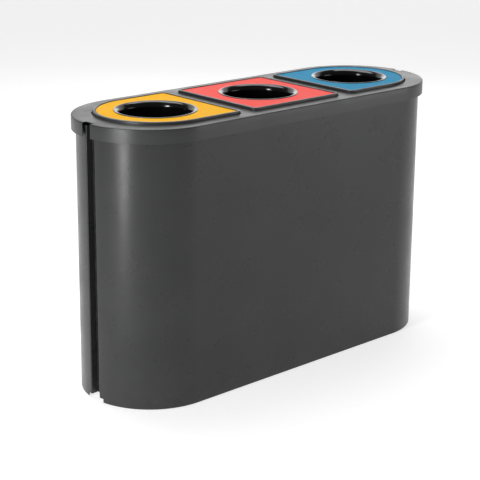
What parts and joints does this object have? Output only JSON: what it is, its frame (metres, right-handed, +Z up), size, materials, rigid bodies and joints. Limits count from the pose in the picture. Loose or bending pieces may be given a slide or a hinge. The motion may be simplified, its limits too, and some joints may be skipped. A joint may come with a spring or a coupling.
{
  "type": "litter bin",
  "caption": "Free-standing stadium-plan recycling bin in sheet steel with a lift-off lid, coloured drop-in inserts with round apertures, and removable inner liners with bail handles.",
  "frame": {"origin": "floor level, centre of the plan", "axes": "+X along the bin's long side towards the blue insert, -Y the front, +Z up"},
  "size_m": [0.9988, 0.35, 0.65],
  "materials": {
    "body_paint": "fine-textured anthracite powder coat",
    "lid_paint": "fine-textured anthracite powder coat",
    "post_paint": "black powder coat",
    "frame_plastic": "satin dark grey moulding",
    "plate_yellow": "satin coloured sheet",
    "plate_red": "satin coloured sheet",
    "plate_blue": "satin coloured sheet",
    "collar_black": "polished black moulding",
    "nut_black": "black moulding",
    "galvanised": "galvanised sheet",
    "pan_galvanised": "galvanised sheet",
    "wire_zinc": "zinc-plated wire",
    "fastener_zinc": "zinc-plated",
    "grip_plastic": "black moulding",
    "glide_rubber": "moulded rubber",
    "seal_rubber": "extruded rubber"
  },
  "bodies": {
    "body": {"front_shell": "body_paint", "rear_shell": "body_paint", "left_end_post": "post_paint", "right_end_post": "post_paint", "post_rivets": "fastener_zinc", "front_top_rail": "pan_galvanised", "rear_top_rail": "pan_galvanised", "base_pan": "pan_galvanised", "base_glides": "glide_rubber", "glide_screws": "fastener_zinc", "front_liner_guide": "pan_galvanised", "rear_liner_guide": "pan_galvanised"},
    "lid": {"lid_panel": "lid_paint", "lid_seal": "seal_rubber", "lid_channel_left": "pan_galvanised", "lid_channel_right": "pan_galvanised", "insert_seat_left": "post_paint", "insert_seat_middle": "post_paint", "insert_seat_right": "post_paint"},
    "insert_left": {"insert_frame_left": "frame_plastic", "plate_screws_left": "fastener_zinc", "colour_plate_yellow": "plate_yellow", "aperture_collar_left": "collar_black", "collar_nut_left": "nut_black"},
    "insert_middle": {"insert_frame_middle": "frame_plastic", "plate_screws_middle": "fastener_zinc", "colour_plate_red": "plate_red", "aperture_collar_middle": "collar_black", "collar_nut_middle": "nut_black"},
    "insert_right": {"insert_frame_right": "frame_plastic", "plate_screws_right": "fastener_zinc", "colour_plate_blue": "plate_blue", "aperture_collar_right": "collar_black", "collar_nut_right": "nut_black"},
    "liner_left": {"liner_left": "galvanised", "bail_ears_left": "galvanised", "ear_rivets_left": "fastener_zinc"},
    "liner_middle": {"liner_middle": "galvanised", "bail_ears_middle": "galvanised", "ear_rivets_middle": "fastener_zinc"},
    "liner_right": {"liner_right": "galvanised", "bail_ears_right": "galvanised", "ear_rivets_right": "fastener_zinc"},
    "bail_left": {"bail_left": "wire_zinc", "bail_grip_left": "grip_plastic"},
    "bail_middle": {"bail_middle": "wire_zinc", "bail_grip_middle": "grip_plastic"},
    "bail_right": {"bail_right": "wire_zinc", "bail_grip_right": "grip_plastic"}
  },
  "joints": [
    {"name": "lid_lift", "type": "slide", "parent": "body", "child": "lid", "axis": [0, 0, 1], "range_m": [0, 0.15]},
    {"name": "insert_lift_left", "type": "slide", "parent": "lid", "child": "insert_left", "axis": [0, 0, 1], "range_m": [0, 0.08]},
    {"name": "insert_lift_middle", "type": "slide", "parent": "lid", "child": "insert_middle", "axis": [0, 0, 1], "range_m": [0, 0.08]},
    {"name": "insert_lift_right", "type": "slide", "parent": "lid", "child": "insert_right", "axis": [0, 0, 1], "range_m": [0, 0.08]},
    {"name": "liner_lift_left", "type": "slide", "parent": "body", "child": "liner_left", "axis": [0, 0, 1], "range_m": [0, 0.04]},
    {"name": "liner_lift_middle", "type": "slide", "parent": "body", "child": "liner_middle", "axis": [0, 0, 1], "range_m": [0, 0.04]},
    {"name": "liner_lift_right", "type": "slide", "parent": "body", "child": "liner_right", "axis": [0, 0, 1], "range_m": [0, 0.04]},
    {"name": "bail_swing_left", "type": "hinge", "parent": "liner_left", "child": "bail_left", "pos_m": [-0.295, 0, 0.48], "axis": [0, -1, 0], "range_deg": [0, 180]},
    {"name": "bail_swing_middle", "type": "hinge", "parent": "liner_middle", "child": "bail_middle", "pos_m": [0, 0, 0.48], "axis": [0, -1, 0], "range_deg": [0, 180]},
    {"name": "bail_swing_right", "type": "hinge", "parent": "liner_right", "child": "bail_right", "pos_m": [0.295, 0, 0.48], "axis": [0, -1, 0], "range_deg": [0, 180]}
  ]
}
